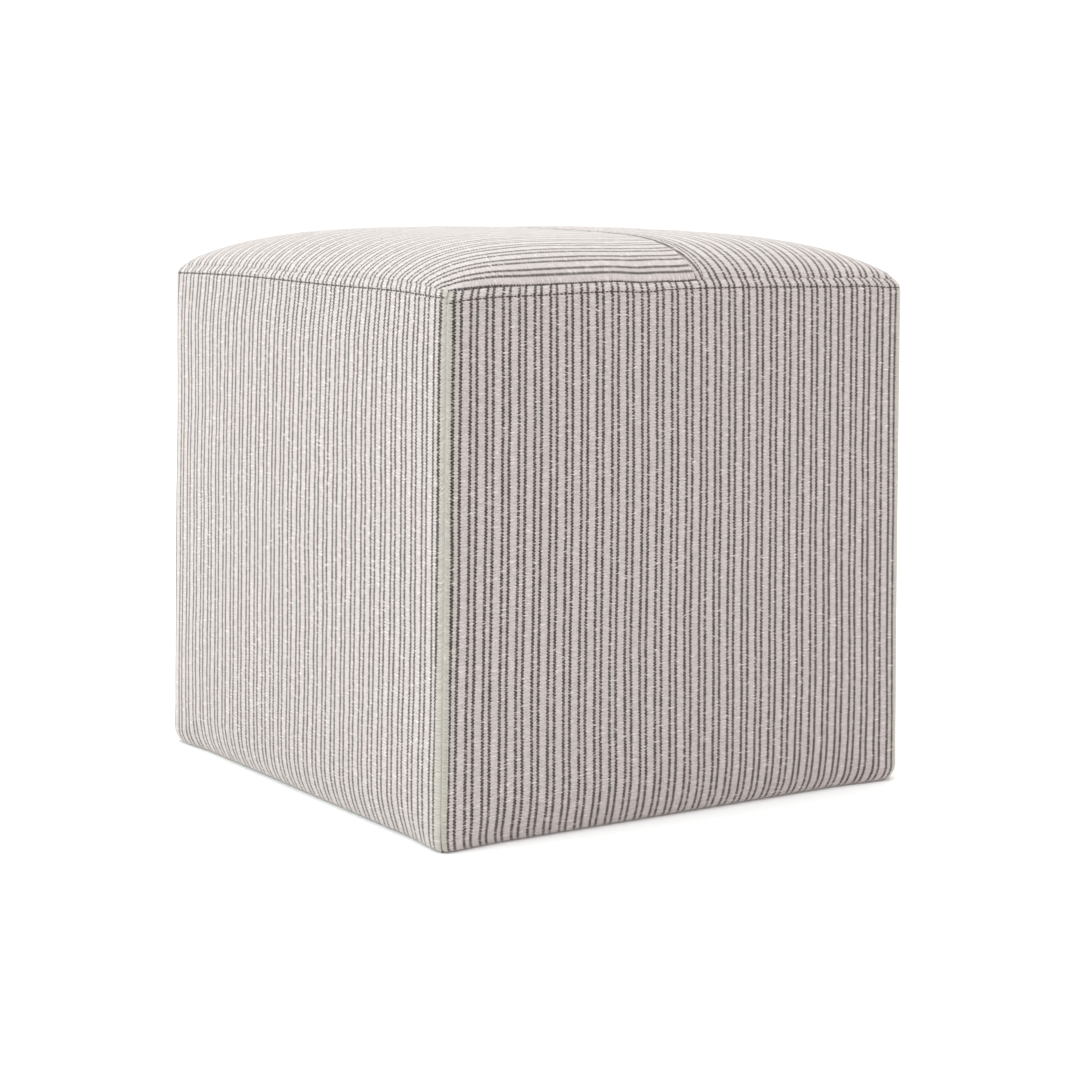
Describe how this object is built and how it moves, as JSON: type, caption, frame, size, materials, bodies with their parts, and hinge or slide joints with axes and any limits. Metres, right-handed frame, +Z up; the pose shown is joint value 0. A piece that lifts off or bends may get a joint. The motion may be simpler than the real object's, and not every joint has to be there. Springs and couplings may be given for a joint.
{
  "type": "cube pouf stool",
  "caption": "Filled cube pouf stool in striped woven cloth, with a crowned top, topstitched seams and a flat base to rest on.",
  "frame": {"origin": "on the floor, under the middle of the cube", "axes": "+Z up; the front side panel faces -Y; +X runs to the right along the front, across the seam that joins the two top panels"},
  "size_m": [0.4561, 0.4578, 0.451],
  "materials": {
    "striped_cloth": "matt woven cloth, cream and greige with pairs of thin charcoal stripes",
    "base_cloth": "matt plain woven base cloth"
  },
  "bodies": {
    "root": {"side_panel_front": "striped_cloth", "side_panel_right": "striped_cloth", "side_panel_back": "striped_cloth", "side_panel_left": "striped_cloth", "top_panel_left": "striped_cloth", "top_panel_right": "striped_cloth", "base_panel": "base_cloth"}
  },
  "joints": []
}
